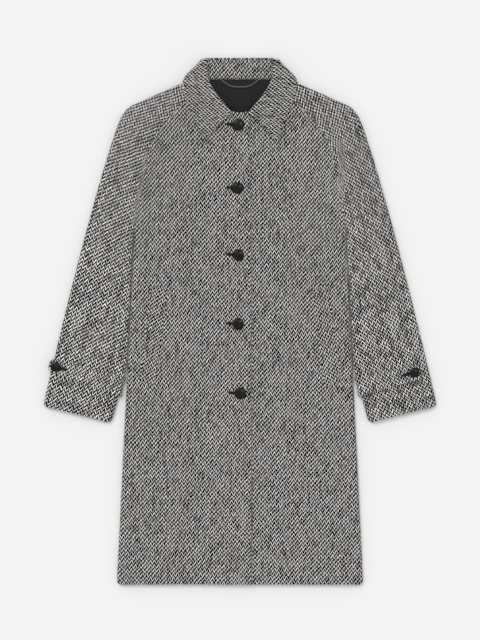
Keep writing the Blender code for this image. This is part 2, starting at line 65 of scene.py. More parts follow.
# outline of the coat in plan, from its middle line, in metres
plan = {
    "hemY": -0.5534,
    "hemHalf": 0.259,
    "underarmHalf": 0.222,
    "underarmY": 0.202,
    "cornerRound": 0.008,
    "frontEdgeTop": 0.021,
    "frontEdgeLow": 0.0245,
    "frontEdgeEase": (0.1, 0.43),
    "underlap": -0.024,
    "raglanBend": (0.078, 0.125),  # how far the seam curves out, and over what length
    "raglanPower": 1.9,
    "neckX": 0.088,
    "neckY": 0.48,
    "neckFrontY": 0.433,
    "necklinePower": 3,
    "shoulderX": 0.125,
    "shoulderY": 0.4985,
    "shoulderSlope": 0.443,
    "shoulderRound": 0.028,
    "underCollarY": 0.4972,
    "sleeveTop": (0.2414, 0.4489),
    "sleeveTopSlope": 2.46,
    "cuffOuter": (0.4142, -0.1780),
    "cuffInner": (0.271, -0.2135),
    "sleeveBow": 0.845,
    "sleeveInnerSlope": 0.286,
    "sleeveClearance": 0.001,
}

# plies, gaps and the heights of the layers
layers = {
    "cloth": 0.0025,
    "backZ": 0.00125,
    "frontZ": 0.01175,
    "foldGap": 0.0002,
    "seamGap": 0.0005,
    "lieGap": 0.0003,
    "neckLift": 0.0043,
    "liftY": (0.39, 0.474),
    "liftX": (0.13, 0.2),
    "raise": 0.0028,  # the upper front climbs over the lower one
    "raiseX": (-0.06, -0.028),
    "raiseEnd": (0.032, 0.064),
    "edgeRise": 0.0030,  # the upper front's edge, turned in and pressed, stands thicker
    "edgeRiseX": (0.010, 0.0190),
    "edgeEndY": (0.385, 0.42),
    "edgeShare": 0.27,
}
lying = layers["cloth"] / 2 + layers["lieGap"]  # from the middle of a ply to what lies on it

# how the cloth turns at its edges
folds = {
    "steps": 7,
    "room": 0.3,
    "side": 0.008,
    "sleeveOuter": 0.009,
    "edge": 0.004,
    "frontEdge": 0.003,
    "edgeStrip": 0.003,  # the rolled front edge shows its cloth end on
    "edgeTaken": 0.6,
    "seamDip": 0.0015,
    "seamReach": 0.005,
    "sideEndY": 0.13,  # above this the side fold runs out towards the underarm
    "sidePower": 1.6,
}

# unevenness of laid cloth: waves per metre across and along, seed, height
waves = [(9, 7, 0.3, 0.0007), (31, 24, 4.7, 0.00025)]


def metres(table):
    return [[value / 1000 for value in row] for row in table]


# soft creases in millimetres: start, end, half width, height (a trough is negative)
frontCreases = metres([
    (214, 372, 217, 272, 10, 2.1),
    (198, 345, 203, 262, 8, -1.1),
    (-206, 352, -210, 275, 11, 1.7),
    (-190, 330, -197, 270, 8, -0.9),
    (-205, 205, -118, 318, 13, -1.2),
    (-196, 176, -130, 250, 12, 1.1),
    (207, 198, 126, 292, 14, -1.3),
    (190, 160, 140, 214, 10, 0.9),
    (-148, 60, -172, -520, 26, 1.5),
    (-94, -170, -108, -545, 20, -1.3),
    (-212, -80, -228, -470, 16, -1),
    (-60, 230, -70, -90, 22, -0.8),
    (142, 20, 160, -500, 28, 1.4),
    (92, -120, 98, -540, 19, -1.2),
    (206, -160, 226, -530, 15, -1.1),
    (66, 330, 74, 20, 24, 0.9),
    (300, 128, 352, 96, 10, -1.3),
    (292, 88, 334, 64, 8, -1),
    (286, 150, 330, 138, 9, 0.9),
    (330, 20, 372, -150, 14, 1),
    (296, 300, 322, 190, 15, -1.1),
    (-296, 116, -346, 92, 10, -1.2),
    (-284, 64, -318, 46, 9, -0.9),
    (-290, 144, -336, 126, 10, 1),
    (-322, 40, -362, -130, 13, 0.9),
    (-290, 318, -316, 200, 16, -1.2),
])
backCreases = metres([
    (-130, 120, -160, -500, 24, 1),
    (60, 20, 52, -480, 20, 0.8),
    (170, -60, 196, -510, 18, 0.9),
    (-190, 240, -120, 340, 14, 0.7),
    (196, 230, 132, 330, 13, 0.8),
    (300, 120, 350, 90, 10, 0.7),
    (-296, 100, -340, 76, 11, 0.8),
])
creaseEnds = (-0.25, 0.3), (0.7, 1.25)  # shares of a crease where it comes up and dies away


def ease(start, end, value):
    t = max(0.0, min(1.0, (value - start) / (end - start)))
    return t * t * (3 - 2 * t)


def fadeEnds(rise, fall, t):
    return ease(*rise, t) * (1 - ease(*fall, t))


def softMin(a, b, width):
    h = max(width - abs(a - b), 0.0) / width
    return min(a, b) - h * h * width / 4


# outlines, as distances from the middle line
def bodySide(y):
    share = (plan["underarmY"] - y) / (plan["underarmY"] - plan["hemY"])
    r = plan["cornerRound"]
    corner = max(0.0, r - (y - plan["hemY"]))
    rounding = r - math.sqrt(max(0.0, r * r - corner * corner))
    return plan["underarmHalf"] + (plan["hemHalf"] - plan["underarmHalf"]) * share - rounding


def raglanX(y):
    reach, length = plan["raglanBend"]
    down = plan["neckY"] - y
    bend = 1 - max(0.0, 1 - down / length) ** plan["raglanPower"]
    height = plan["neckY"] - plan["underarmY"]
    slope = (plan["underarmHalf"] - plan["neckX"] - reach) / height
    return plan["neckX"] + reach * bend + slope * down


def shoulderLine(x):
    slopeY = plan["shoulderY"] - plan["shoulderSlope"] * (x - plan["shoulderX"])
    topX, topY = plan["sleeveTop"]
    cuffX, cuffY = plan["cuffOuter"]
    if x < topX:
        sleeveY = topY + (topX - x) * plan["sleeveTopSlope"]
    else:
        sleeveY = topY - (topY - cuffY) * ((x - topX) / (cuffX - topX)) ** (1 / plan["sleeveBow"])
    return min(softMin(slopeY, sleeveY, plan["shoulderRound"]), plan["underCollarY"])


def sleeveOuter(y):
    topX, topY = plan["sleeveTop"]
    cuffX, cuffY = plan["cuffOuter"]
    return topX + (cuffX - topX) * ((topY - y) / (topY - cuffY)) ** plan["sleeveBow"]


def sleeveInner(y):
    cuffX, cuffY = plan["cuffInner"]
    return max(bodySide(y) + plan["sleeveClearance"], cuffX - plan["sleeveInnerSlope"] * (y - cuffY))


def upperEdge(y):
    growth = plan["frontEdgeLow"] - plan["frontEdgeTop"]
    return -plan["frontEdgeTop"] - growth * (1 - ease(*plan["frontEdgeEase"], y))


def lowerEdge(y):
    return plan["underlap"]


def neckline(y, edge):
    rise = min(1.0, (y - plan["neckFrontY"]) / (plan["neckY"] - plan["neckFrontY"]))
    return plan["neckX"] - (plan["neckX"] - edge) * (1 - rise) ** plan["necklinePower"]


# heights of the middles of the layers
def creased(creases, x, y):
    total = 0.0
    for x0, y0, x1, y1, width, height in creases:
        dx, dy = x1 - x0, y1 - y0
        length = math.hypot(dx, dy)
        across = ((x - x0) * dy - (y - y0) * dx) / length
        if abs(across) < 3 * width:
            t = ((x - x0) * dx + (y - y0) * dy) / (length * length)
            total += height * fadeEnds(*creaseEnds, t) * math.exp(-((across / width) ** 2))
    return total


def swell(x, y):
    total = 0.0
    for across, along, seed, height in waves:
        total += height * noise.noise(Vector((x * across, y * along, seed)))
    return total


def neckLift(x, y):
    across = 1 - ease(*layers["liftX"], abs(x))
    return layers["neckLift"] * ease(*layers["liftY"], y) * across


def backLevel(x, y):
    return layers["backZ"] + neckLift(x, y) + creased(backCreases, x, y)


def frontLevel(x, y):
    return layers["frontZ"] + neckLift(x, y) + creased(frontCreases, x, y) + swell(x, y)


def edgePresence(y):
    return 1 - ease(*layers["edgeEndY"], y)


def upperFrontLevel(x, y):
    rise = layers["edgeRise"] * ease(*layers["edgeRiseX"], x) * edgePresence(y)
    return frontLevel(x, y) + layers["raise"] * ease(*layers["raiseX"], x) + rise


def seamLevel(x, y):
    return (layers["backZ"] + layers["frontZ"]) / 2 + neckLift(x, y)


def topSeam(x, y):
    return seamLevel(x, y) + layers["foldGap"]


def lowSeam(x, y):
    return seamLevel(x, y) - layers["foldGap"]


# one row across a panel: each point with its place on the flat cloth
def foldedRow(start, end, level, seam, startFold, endFold, inside, out=0.0):
    start, end = Vector(start), Vector(end)
    inward = (end - start).normalized()
    room = (end - start).length * folds["room"]
    sides = []
    for place, turn, (share, radius) in ((start, inward, startFold), (end, -inward, endFold)):
        folded = min(1.0, share * 3)  # a third of a fold already counts as one
        place = place + turn * ((layers["cloth"] / 2 - out) * folded)
        radius = min(radius, room) + out * share
        points = []
        for k in range(folds["steps"]):
            angle = math.pi / 2 * (1 - k / (folds["steps"] - 1))  # from the flat out to the edge
            p = place + turn * (radius * (1 - math.cos(angle)))
            height = level(p.x, p.y) + out
            above = height - seam(p.x, p.y)
            drop = above * share * (1 - math.sin(angle))
            dip = folds["seamDip"] * (1 - folded) if above > 0 else 0.0
            gone = (p - place).length
            height -= drop + dip * (1 - ease(0, folds["seamReach"], gone))
            points.append(Vector((p.x, p.y, height)))
        flat = [Vector(points[0].xy)]
        for a, b in zip(points, points[1:]):
            flat.append(flat[-1] - turn * (b - a).length)
        sides.append(list(zip(points, flat)))
    low, high = sides[0][0][1], sides[1][0][1]
    row = sides[0][::-1]
    for k in range(1, inside):
        p = low.lerp(high, k / inside)
        row.append((Vector((p.x, p.y, level(p.x, p.y) + out)), p))
    return row + sides[1]


def evenly(start, end, pitch):
    count = max(1, round(abs(end - start) / pitch))
    return [start + (end - start) * k / count for k in range(count + 1)]


# the grid's rows and columns take their places from the rows of a piece
def layGrid(bm, rows, grain):
    across, along = len(rows[0]) - 1, len(rows) - 1
    made = bmesh.ops.create_grid(bm, x_segments=across, y_segments=along, size=0.5)
    onCloth = {}
    for v in made["verts"]:
        i, j = round((v.co.x + 0.5) * across), round((v.co.y + 0.5) * along)
        point, flat = rows[j][i]
        v.co = point
        onCloth[v] = grain(flat)
    grainMap = bm.loops.layers.uv.new("grain")
    for v, place in onCloth.items():
        for loop in v.link_loops:
            loop[grainMap].uv = place


def addObject(name, data):
    thing = bpy.data.objects.new(name, data)
    scene.collection.objects.link(thing)
    return thing


def addMesh(name, bm, finish):
    mesh = bpy.data.meshes.new(name)
    bm.to_mesh(mesh)
    bm.free()
    mesh.materials.append(finish)
    return addObject(name, mesh)


def addPiece(name, bm, finish, slot, *nodes):
    piece = addMesh(name, bm, finish)
    piece.data.shade_smooth()
    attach(piece, "root")
    if nodes:
        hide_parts(*nodes)
    return piece


def thicken(piece, wall, rounding):
    solid = piece.modifiers.new("wall", "SOLIDIFY")
    solid.thickness = wall
    solid.offset = 0
    soft = piece.modifiers.new("rounded edge", "BEVEL")
    soft.width = rounding
    soft.segments = 3
    soft.limit_method = "ANGLE"
    soft.angle_limit = math.radians(55)
    soft.use_clamp_overlap = True


# the weave's own axes, turned on the cloth
def turned(angle, shift=(0.0, 0.0), closer=1.0):
    c, s = math.cos(angle), math.sin(angle)

    def grain(flat):
        x, y = flat
        return ((c * x + s * y) * closer + shift[0], c * y - s * x + shift[1])

    return grain


def clothPiece(name, rows, grain, wall, rounding, finish, slot="tweed"):
    bm = bmesh.new()
    layGrid(bm, rows, grain)
    bmesh.ops.recalc_face_normals(bm, faces=bm.faces)
    piece = addPiece(name, bm, finish, slot, name.rsplit("_", 1)[0])
    thicken(piece, wall, rounding)
    return piece


# shader maths as expressions
def operator(operation):
    return lambda self, *others: self.math(operation, *others)


class Signal:
    def __init__(self, finish, socket):
        self.finish = finish
        self.socket = socket

    def math(self, operation, *others):
        sockets = dict(enumerate((self, *others)))
        return self.finish.node("Math", {"operation": operation}, sockets)

    def other(self, output):
        return Signal(self.finish, self.socket.node.outputs[output])

    def __rsub__(self, value):
        return self.finish.node("Math", {"operation": "SUBTRACT"}, {0: value, 1: self})

    __add__ = __radd__ = operator("ADD")
    __sub__ = operator("SUBTRACT")
    __mul__ = __rmul__ = operator("MULTIPLY")
    __truediv__ = operator("DIVIDE")
    __abs__ = operator("ABSOLUTE")


class Finish:
    def __init__(self, name, **constants):
        self.material = bpy.data.materials.new(name)
        self.material.use_nodes = True
        self.tree = self.material.node_tree
        self.shader = self.tree.nodes["Principled BSDF"]
        for key, value in constants.items():
            self.shader.inputs[key.replace("_", " ")].default_value = value

    def node(self, kind, settings, sockets, output=0):
        node = self.tree.nodes.new("ShaderNode" + kind)
        for key, value in settings.items():
            setattr(node, key, value)
        for key, value in sockets.items():
            self.join(node.inputs[key], value)
        return Signal(self, node.outputs[output])

    def join(self, socket, value):
        if isinstance(value, Signal):
            self.tree.links.new(value.socket, socket)
        else:
            socket.default_value = value

    def drive(self, name, value):
        self.join(self.shader.inputs[name], value)

    def grain(self):
        return self.node("UVMap", {"uv_map": "grain"}, {})

    def split(self, place):
        return self.node("SeparateXYZ", {}, {0: place})

    def mix(self, amount, a, b):
        return self.node("Mix", {"data_type": "RGBA"}, {0: amount, 6: a, 7: b}, 2)

    def step(self, value, low, high):
        sockets = {"Value": value, "From Min": low, "From Max": high}
        return self.node("MapRange", {"interpolation_type": "SMOOTHSTEP"}, sockets)

    def cloud(self, place, scale, detail=2.0):
        return self.node("TexNoise", {}, {"Vector": place, "Scale": scale, "Detail": detail})

    def bump(self, height, distance, strength):
        sockets = {"Height": height, "Distance": distance, "Strength": strength}
        self.drive("Normal", self.node("Bump", {}, sockets))


# black and white zigzag tweed, charted on the cloth in metres
tweed = {
    "column": 0.00405,  # width of one slanting column of floats
    "repeat": 0.0090,  # a white float and a black one, up the column
    "climb": 1.0,  # repeats that a float climbs across its column
    "wander": [(26.0, 0.0042), (140.0, 0.0034)],  # of the loom's rows and of single yarns: scale, reach
    "slantScale": 15.0,
    "slantSpread": 0.14,
    "uneven": 0.26,  # how far the floats differ in thickness
    "columnEnds": (0.72, 1.0),  # where a float fades into the next column
    "fuzzScale": 900.0,
    "fuzzReach": 0.2,
    "fibreScale": 2600.0,
    "fibreDepth": 0.2,
    "twistScale": 5200.0,
    "twistSlope": 0.6,
    "relief": (0.7, 0.5, 0.12),  # of the floats, the fuzz and the yarn's twist
    "bump": (0.0006, 0.5),
    "white": (0.95, 0.945, 0.93, 1),
    "grey": (0.30, 0.297, 0.29, 1),
    "black": (0.004, 0.004, 0.0042, 1),
}


# share is the white part of a repeat, tint greys the whites, lean is the part
# of two columns that slants to the left, fade dims the floats where columns meet
def makeTweed(name, share, soft, tint, lean, fade):
    f = Finish(name, Roughness=0.95, Sheen_Weight=0.05, Sheen_Roughness=0.5, Specular_IOR_Level=0.06)
    grain = f.grain()
    place = grain
    for scale, reach in tweed["wander"]:
        drift = f.cloud(grain, scale, 1.0).other("Color")
        drift = f.node("VectorMath", {"operation": "SUBTRACT"}, {0: drift, 1: (0.5, 0.5, 0.5)})
        drift = f.node("VectorMath", {"operation": "SCALE"}, {0: drift, "Scale": reach})
        place = f.node("VectorMath", {"operation": "ADD"}, {0: place, 1: drift})
    across = f.split(place)
    along = across.other("Y")

    pair = across / (2 * tweed["column"])
    part = pair.math("FRACT")
    slant = (f.cloud(grain, tweed["slantScale"], 1.0) - 0.5) * tweed["slantSpread"] + lean
    turn = (part / slant).math("MINIMUM", (1 - part) / (1 - slant))
    climb = along / tweed["repeat"] + turn * tweed["climb"]
    column = part.math("GREATER_THAN", slant) + pair.math("FLOOR") * 2
    dash = f.node("CombineXYZ", {}, {0: column, 1: climb.math("FLOOR")})
    chance = f.node("TexWhiteNoise", {"noise_dimensions": "2D"}, {"Vector": dash})
    shade = f.split(chance.other("Color"))
    fuzz = f.cloud(grain, tweed["fuzzScale"], 3.0)
    away = abs(climb.math("FRACT") - 0.5) * 2 + (fuzz - 0.5) * tweed["fuzzReach"]
    edge = (chance - 0.5) * tweed["uneven"] + share
    white = f.step(edge - away, -soft, soft)
    white = white * (1 - f.step(abs(turn - 0.5) * 2, *tweed["columnEnds"]) * fade)

    tone = f.mix(shade * shade * tint, tweed["white"], tweed["grey"])
    fibre = f.step(f.cloud(grain, tweed["fibreScale"], 2.0), 0.25, 0.75)
    tone = f.mix(fibre * tweed["fibreDepth"] + (1 - tweed["fibreDepth"]), tweed["grey"], tone)
    dark = f.mix(f.step(fuzz, 0.55, 0.85) * 0.1, tweed["black"], tweed["grey"])
    f.drive("Base Color", f.mix(white, dark, tone))
    twist = ((along * tweed["twistSlope"] + across) * tweed["twistScale"]).math("SINE")
    ofFloats, ofFuzz, ofTwist = tweed["relief"]
    f.bump(white * ofFloats + fuzz * ofFuzz + twist * ofTwist, *tweed["bump"])
    return f.material


# black satin of the lining and the label
satin = {"colour": (0.006, 0.006, 0.0064, 1), "worn": (0.0125, 0.0125, 0.0132, 1)}


def makeSatin(name, twill, roughness):
    f = Finish(name, Sheen_Weight=0.03, Specular_IOR_Level=0.12)
    grain = f.grain()
    x = f.split(grain)
    ribs = ((x + x.other("Y") * 0.6) * (2 * math.pi / twill)).math("SINE") * 0.5 + 0.5
    cloudy = f.cloud(grain, 60.0, 3.0)
    worn = ribs * 0.35 + f.step(cloudy, 0.35, 0.75) * 0.4
    f.drive("Base Color", f.mix(worn, satin["colour"], satin["worn"]))
    f.drive("Roughness", cloudy * 0.2 + roughness)
    f.bump(ribs, 0.0002, 0.4)
    return f.material


# polished black horn of the buttons
horn = {"colour": (0.007, 0.007, 0.0075, 1), "cloudy": (0.016, 0.0155, 0.0155, 1)}


def makeHorn():
    f = Finish("blackHorn", Specular_IOR_Level=0.09)
    place = f.node("TexCoord", {}, {}, "Object")
    clouds = f.cloud(place, 220.0, 4.0)
    f.drive("Base Color", f.mix(f.step(clouds, 0.4, 0.75), horn["colour"], horn["cloudy"]))
    f.drive("Roughness", f.cloud(place, 900.0, 3.0) * 0.06 + 0.15)
    f.bump(clouds, 0.0002, 0.03)
    return f.material


# buttonhole silk
silk = {"pitch": 0.0008, "dark": (0.006, 0.006, 0.007, 1), "light": (0.012, 0.012, 0.0125, 1)}


def makeSilk():
    f = Finish("buttonholeSilk", Roughness=0.7, Sheen_Weight=0.05, Specular_IOR_Level=0.15)
    grain = f.grain()
    x = f.split(grain)
    strand = abs((x / silk["pitch"]).math("FRACT") - 0.5) * 2
    f.drive("Base Color", f.mix(strand * f.cloud(grain, 800.0), silk["dark"], silk["light"]))
    f.bump(1 - strand * strand, 0.0003, 0.6)
    return f.material


# grey yarn of the hanger loop
cord = {"dark": (0.02, 0.02, 0.021, 1), "light": (0.085, 0.085, 0.088, 1)}


def makeCordFinish():
    f = Finish("greyCord", Roughness=0.75, Sheen_Weight=0.1)
    fibre = f.cloud(f.grain(), 1800.0, 3.0)
    f.drive("Base Color", f.mix(fibre, cord["dark"], cord["light"]))
    f.bump(fibre, 0.0002, 0.5)
    return f.material


finishes = {
    "tweed": makeTweed("zigzagTweed", share=0.242, soft=0.035, tint=0.5, lean=0.41, fade=0.33),
    "rightSleeve": makeTweed("rightSleeveTweed", share=0.240, soft=0.03, tint=0.1, lean=0.45, fade=0.36),
    "leftSleeve": makeTweed("leftSleeveTweed", share=0.216, soft=0.02, tint=0.05, lean=0.50, fade=0.25),
    "lining": makeSatin("liningSatin", 0.0009, 0.42),
    "label": makeSatin("labelSatin", 0.0006, 0.34),
    "horn": makeHorn(),
    "silk": makeSilk(),
    "cord": makeCordFinish(),
}
print("finishes made:", len(finishes))


def setStudio():
    camera = addObject("camera", bpy.data.cameras.new("camera"))
    camera.location = (0, studio["cameraY"], studio["cameraHeight"])
    camera.data.sensor_width = studio["sensor"]
    camera.data.lens = studio["sensor"] * studio["cameraHeight"] / studio["photoHeight"]
    scene.camera = camera
    for name, strength, *degrees in studio["suns"]:
        apparent, turnX, turnY = map(math.radians, degrees)
        sun = addObject(name, bpy.data.lights.new(name, "SUN"))
        sun.data.energy = strength
        sun.data.angle = apparent
        sun.rotation_euler = (turnX, turnY, 0)
    sky = bpy.data.worlds.new("softbox")
    sky.use_nodes = True
    background = sky.node_tree.nodes["Background"].inputs
    background["Color"].default_value = (1, 1, 1, 1)
    background["Strength"].default_value = studio["skyStrength"]
    scene.world = sky
    scene.view_settings.view_transform = "Standard"
    bm = bmesh.new()
    bmesh.ops.create_grid(bm, x_segments=1, y_segments=1, size=studio["floorSize"] / 2)
    bmesh.ops.translate(bm, verts=bm.verts, vec=(0, 0, studio["floorZ"]))
    paper = Finish("palePaper", Roughness=0.9, Base_Color=studio["floorColour"], Specular_IOR_Level=0.0)
    floor = addMesh("floor", bm, paper.material)
    return floor


floor = setStudio()
print("studio set")


# a cord's skin: rows of points round each point of its path
def tubeRows(path, width, height, sides, closed, lobe):
    last = len(path) - 1
    rows = []
    gone = 0.0
    for k, centre in enumerate(path):
        before = path[k - 1] if k else (path[last - 1] if closed else centre)
        after = path[k + 1] if k < last else (path[1] if closed else centre)
        sideways = up.cross(after - before).normalized()
        gone += (centre - path[max(k - 1, 0)]).length
        row = []
        for i in range(sides + 1):
            a = 2 * math.pi * i / sides
            grow = lobe(a, gone) if lobe else 1.0
            spoke = sideways * (width * grow * math.cos(a)) + up * (height * grow * math.sin(a))
            row.append((centre + spoke, Vector((gone, height * a))))
        rows.append(row)
    return rows


def layTube(path, width, height, sides, closed=False, lobe=None):
    bm = bmesh.new()
    layGrid(bm, tubeRows(path, width, height, sides, closed, lobe), lambda flat: flat)
    bmesh.ops.remove_doubles(bm, verts=bm.verts, dist=1e-6)
    ends = [e for e in bm.edges if e.is_boundary]
    bmesh.ops.holes_fill(bm, edges=ends, sides=sides + 1)
    bmesh.ops.recalc_face_normals(bm, faces=bm.faces)
    return bm


# the loop inside the neck, laid from three strands
hanger = {
    "half": 0.038,
    "topY": 0.5055,
    "sag": 0.0135,
    "slope": 0.52,  # share of each half that hangs down to the level middle
    "bend": 0.5,
    "z": 0.01,
    "radius": 0.0019,
    "points": 97,
    "sides": 18,
    "strands": 3,
    "lay": 0.0062,  # length of one turn of a strand
    "groove": 0.22,  # share of the radius that the strands' grooves go in
}


def makeHanger():
    route = []
    for k in range(hanger["points"]):
        a = 2 * k / (hanger["points"] - 1) - 1
        drop = hanger["sag"] * softMin(1.0, (1 - abs(a)) / hanger["slope"], hanger["bend"])
        route.append(Vector((a * hanger["half"], hanger["topY"] - drop, hanger["z"])))
    length = sum((b - a).length for a, b in zip(route, route[1:]))

    def strands(angle, gone):
        turn = angle - 2 * math.pi * gone / hanger["lay"]
        return 1 - hanger["groove"] * (1 - abs(math.cos(turn * hanger["strands"] / 2)))

    bm = layTube(route, hanger["radius"], hanger["radius"], hanger["sides"], lobe=strands)
    loop = addPiece("hanger_cord", bm, finishes["cord"], "hanger", "hanger_loop")
    path = [tuple(p) for p in route[::4]]
    tuple(route[0])


makeHanger()
print("hanger loop made")

# body panels
body = {
    "rowPitch": 0.0075,
    "columns": 38,
    "backColumns": 76,
    "weaveShift": {-1: (0.0011, 0.0023), 1: (0.0, 0.0)},  # the weave doesn't match at the seams
    "rounding": 0.0009,
    "hemSteps": (0.0, 0.0003, 0.0009, 0.0018, 0.003, 0.0045, 0.0062, 0.008),
    "neckSteps": (0.4333, 0.4345, 0.436, 0.438, 0.441, 0.445, 0.45, 0.4555, 0.462, 0.468, 0.474),
    "backNeck": [(0.48, 0.0878), (0.497, 0.0865), (0.509, 0.070)],
}


def sideShare(y):
    if y >= plan["underarmY"]:
        return 0.0
    gone = max(0.0, (y - folds["sideEndY"]) / (plan["underarmY"] - folds["sideEndY"]))
    return 1 - gone ** folds["sidePower"]


def bodyHalf(y):
    return bodySide(y) if y < plan["underarmY"] else raglanX(y) - layers["seamGap"] / 2


def bodyLines(last):
    lines = [plan["hemY"] + step for step in body["hemSteps"]]
    lines += evenly(lines[-1], plan["underarmY"], body["rowPitch"])[1:]
    return lines + evenly(plan["underarmY"], last, body["rowPitch"])[1:]


def makeFront(name, side, edge, level):
    rows = []
    upper = side < 0
    for y in bodyLines(plan["neckFrontY"]) + list(body["neckSteps"]):
        inner = edge(y) if y <= plan["neckFrontY"] else neckline(y, edge(plan["neckFrontY"]))
        ends = (side * inner, y), (side * bodyHalf(y), y)
        edgeFold = (0.0, folds["edge"])
        if upper:
            edgeFold = (layers["edgeShare"] * edgePresence(y), folds["frontEdge"])
        turns = edgeFold, (sideShare(y), folds["side"])
        rows.append(foldedRow(*ends, level, topSeam, *turns, body["columns"]))
    weave = turned(0.0, body["weaveShift"][side])

    def grain(flat):
        u, v = weave(flat)
        near = max(0.0, flat.x + folds["edgeStrip"] - side * edge(flat.y)) if upper else 0.0
        return u + folds["edgeTaken"] * near * edgePresence(flat.y), v

    return clothPiece(name, rows, grain, layers["cloth"], body["rounding"], finishes["tweed"])


def makeBack():
    lines = bodyLines(body["neckSteps"][-1])
    lines = [(y, bodyHalf(y), (sideShare(y), folds["side"])) for y in lines]
    lines += [(y, half, (0.0, folds["edge"])) for y, half in body["backNeck"]]
    rows = []
    for y, half, fold in lines:
        rows.append(foldedRow((-half, y), (half, y), backLevel, lowSeam, fold, fold, body["backColumns"]))
    return clothPiece("back_cloth", rows, turned(0.0), layers["cloth"], body["rounding"], finishes["tweed"])


back = makeBack()
frontRight = makeFront("front_right_cloth", -1, upperEdge, upperFrontLevel)
frontLeft = makeFront("front_left_cloth", 1, lowerEdge, frontLevel)
print("body made")

# sleeve halves, front and back alike in plan
sleeve = {
    "columns": 26,
    "rowPitch": 0.007,
    "centre": [
        # y, middle of the sleeve there
        (0.460, 0.162), (0.430, 0.198), (0.380, 0.225), (0.330, 0.240), (0.150, 0.279),
        (0.040, 0.296), (-0.060, 0.311), (-0.165, 0.334), (-0.250, 0.352),
    ],
    "lay": {
        # y, how far the columns and the rows of the weave turn in degrees, how close each are
        -1: [
            (0.455, 31.0, 30.0, 1.00, 1.02), (0.430, 31.0, 29.0, 1.00, 1.03),
            (0.400, 21.5, 30.5, 0.98, 1.05), (0.360, 19.0, 31.5, 0.93, 1.05),
            (0.300, 18.0, 29.5, 0.925, 1.04), (0.150, 12.5, 20.0, 0.87, 1.01),
            (0.040, 12.0, 18.4, 0.864, 1.00), (-0.060, 15.3, 17.6, 0.84, 0.99),
            (-0.170, 17.2, 16.2, 0.866, 0.96),
        ],
        1: [
            (0.455, 31.0, 25.0, 1.02, 1.00), (0.430, 32.0, 27.5, 1.00, 1.02),
            (0.400, 17.0, 28.0, 1.10, 1.06), (0.360, 13.8, 24.0, 1.12, 1.03),
            (0.300, 14.0, 23.0, 1.06, 1.02), (0.150, 12.6, 19.3, 1.035, 1.01),
            (0.040, 12.0, 15.4, 0.985, 1.00), (-0.060, 17.0, 13.6, 0.98, 0.99),
            (-0.170, 20.7, 13.0, 0.975, 1.00),
        ],
    },
    "weaveShift": {
        "front": {-1: (-0.0007, 0.003), 1: (0.0007, 0.003)},
        "back": {-1: (0.002, -0.001), 1: (0.002, 0.001)},
    },
    "layTop": 0.52,
    "layStep": 0.004,
    "layCount": 200,
    "foldBands": {
        # a line down the fold, its half width and the cloth that it takes up
        -1: ((0.1945, 0.366), (0.2165, 0.232), 0.0075, 0.019),
        1: ((0.2165, 0.388), (0.2105, 0.262), 0.0072, 0.0155),
    },
    "foldRun": ((-0.05, 0.4), (0.85, 1.3)),  # shares of the line where the fold comes up and dies away
    "innerFold": [(-0.020, 0.028), (-0.092, 0.016), (-0.150, 0.009)],  # y, reach of the inner fold
    "rounding": 0.0009,
    "rows": [
        # y on the raglan seam or inner edge, x on the shoulder or outer edge
        (0.480, 0.088), (0.474, 0.104), (0.464, 0.121), (0.455, 0.134), (0.445, 0.149),
        (0.438, 0.160), (0.433, 0.167), (0.421, 0.185), (0.402, 0.210), (0.385, 0.230),
        (0.366, 0.246), (0.340, 0.262), (0.305, 0.281), (0.270, 0.299), (0.235, 0.309),
        (0.202, 0.316), (0.165, 0.326), (0.130, 0.3348), (0.060, 0.352), (-0.020, 0.371),
        (-0.092, 0.388), (-0.150, 0.4006), (-0.2055, 0.4125),
    ],
}


def sleeveLines():
    lines = []
    for a, b in zip(sleeve["rows"], sleeve["rows"][1:]):
        step = max(abs(a[0] - b[0]), abs(a[1] - b[1]))
        for t in evenly(0.0, 1.0, sleeve["rowPitch"] / step)[:-1]:
            lines.append([p + (q - p) * t for p, q in zip(a, b)])
    lines.append(list(sleeve["rows"][-1]))
    ends = []
    for y, outerX in lines:
        raglan = y > plan["underarmY"]
        innerX = raglanX(y) + layers["seamGap"] / 2 if raglan else sleeveInner(y)
        fold = station(sleeve["innerFold"], y)[0]
        ends.append(((innerX, y), (outerX, shoulderLine(outerX)), sideShare(y), fold))
    inner, outer = Vector(plan["cuffInner"]), Vector(plan["cuffOuter"])
    across = (outer - inner).normalized()
    rise = Vector((-across.y, across.x))
    r = plan["cornerRound"]
    for height in body["hemSteps"][-2::-1]:
        inset = r - math.sqrt(r * r - (r - height) ** 2)
        a, b = inner + rise * height + across * inset, outer + rise * height - across * inset
        ends.append((tuple(a), tuple(b), 1.0, fold))
    return ends


def makeSleeve(half, hand, side, level, seam):
    rows = []
    for start, end, share, fold in sleeveLines():
        start, end = (side * start[0], start[1]), (side * end[0], end[1])
        turns = (share, fold), (1.0, folds["sleeveOuter"])
        rows.append(foldedRow(start, end, level, seam, *turns, sleeve["columns"]))
    name, finish = f"sleeve_{half}_{hand}_cloth", finishes[hand + "Sleeve"]
    grain = sleeveGrain(side, sleeve["weaveShift"][half][side])
    return clothPiece(name, rows, grain, layers["cloth"], sleeve["rounding"], finish)


def station(table, y):
    for above, below in zip(table, table[1:]):
        if y >= below[0]:
            t = max(0.0, (above[0] - y) / (above[0] - below[0]))
            return [p + (q - p) * t for p, q in zip(above[1:], below[1:])]
    return table[-1][1:]


def weaveLay(side, y):
    columnTurn, rowTurn, columnsClose, rowsClose = station(sleeve["lay"][side], y)
    columnTurn, rowTurn = math.radians(columnTurn), math.radians(rowTurn)
    return (
        (columnsClose * math.cos(columnTurn), columnsClose * math.sin(columnTurn)),
        (-rowsClose * math.sin(rowTurn), rowsClose * math.cos(rowTurn)),
    )


